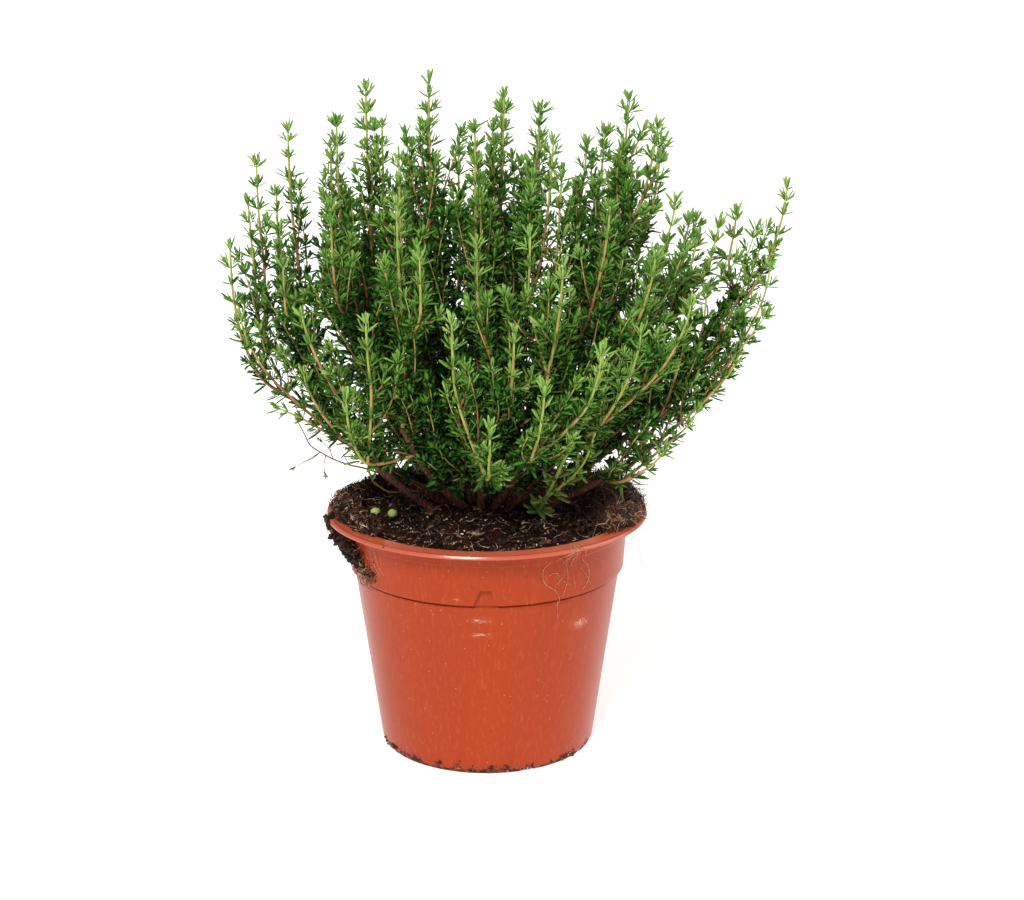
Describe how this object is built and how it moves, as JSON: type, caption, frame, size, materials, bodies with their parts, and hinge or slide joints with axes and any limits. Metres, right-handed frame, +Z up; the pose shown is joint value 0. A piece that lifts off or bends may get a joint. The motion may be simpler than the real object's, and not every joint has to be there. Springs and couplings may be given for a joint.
{
  "type": "potted thyme",
  "caption": "Bushy upright thyme with small paired leaves on fanning woody stems, in a tapered plastic nursery pot with a wide flat rim, full of peat.",
  "frame": {"origin": "centre of the pot's foot, on the surface that the pot stands on", "axes": "+Z up along the pot's axis; -Y is the front, where the collar has a notch; +X is the plant's right side as seen from the front"},
  "size_m": [0.2268, 0.1496, 0.2725],
  "materials": {
    "pot_plastic": "injection-moulded terracotta-coloured polypropylene with a soft sheen, scuffed",
    "peat": "dark, damp, fibrous peat",
    "granule": "smooth pale green bead",
    "fine_roots": "matted fine roots with peat in them",
    "bark": "thin, rough, grey-brown bark",
    "leafy_shoot": "small green leaves with a dull waxy sheen on green to tan stems"
  },
  "bodies": {
    "root": {"fertiliser_granule_1": "granule", "fertiliser_granule_2": "granule", "leafy_spray_back_1": "leafy_shoot", "leafy_spray_back_2": "leafy_shoot", "leafy_spray_back_left_1": "leafy_shoot", "leafy_spray_back_left_2": "leafy_shoot", "leafy_spray_back_right_1": "leafy_shoot", "leafy_spray_back_right_2": "leafy_shoot", "leafy_spray_centre_1": "leafy_shoot", "leafy_spray_centre_2": "leafy_shoot", "leafy_spray_centre_left_1": "leafy_shoot", "leafy_spray_centre_left_2": "leafy_shoot", "leafy_spray_far_left_1": "leafy_shoot", "leafy_spray_far_left_2": "leafy_shoot", "leafy_spray_far_right_1": "leafy_shoot", "leafy_spray_far_right_2": "leafy_shoot", "leafy_spray_front_1": "leafy_shoot", "leafy_spray_front_2": "leafy_shoot", "leafy_spray_front_left_1": "leafy_shoot", "leafy_spray_front_left_2": "leafy_shoot", "leafy_spray_front_right_1": "leafy_shoot", "leafy_spray_front_right_2": "leafy_shoot", "leafy_spray_left_1": "leafy_shoot", "leafy_spray_left_2": "leafy_shoot", "leafy_spray_left_back_1": "leafy_shoot", "leafy_spray_left_back_2": "leafy_shoot", "leafy_spray_low_left_1": "leafy_shoot", "leafy_spray_low_left_2": "leafy_shoot", "leafy_spray_low_right_1": "leafy_shoot", "leafy_spray_low_right_2": "leafy_shoot", "leafy_spray_right_1": "leafy_shoot", "leafy_spray_right_2": "leafy_shoot", "leafy_spray_right_front_1": "leafy_shoot", "leafy_spray_right_front_2": "leafy_shoot", "pot": "pot_plastic", "root_mat": "fine_roots", "soil": "peat", "spilled_soil": "peat", "woody_stem_back": "bark", "woody_stem_back_left": "bark", "woody_stem_back_right": "bark", "woody_stem_centre": "bark", "woody_stem_centre_left": "bark", "woody_stem_far_left": "bark", "woody_stem_far_right": "bark", "woody_stem_front": "bark", "woody_stem_front_left": "bark", "woody_stem_front_right": "bark", "woody_stem_left": "bark", "woody_stem_left_back": "bark", "woody_stem_low_left": "bark", "woody_stem_low_right": "bark", "woody_stem_right": "bark", "woody_stem_right_front": "bark"}
  },
  "joints": []
}
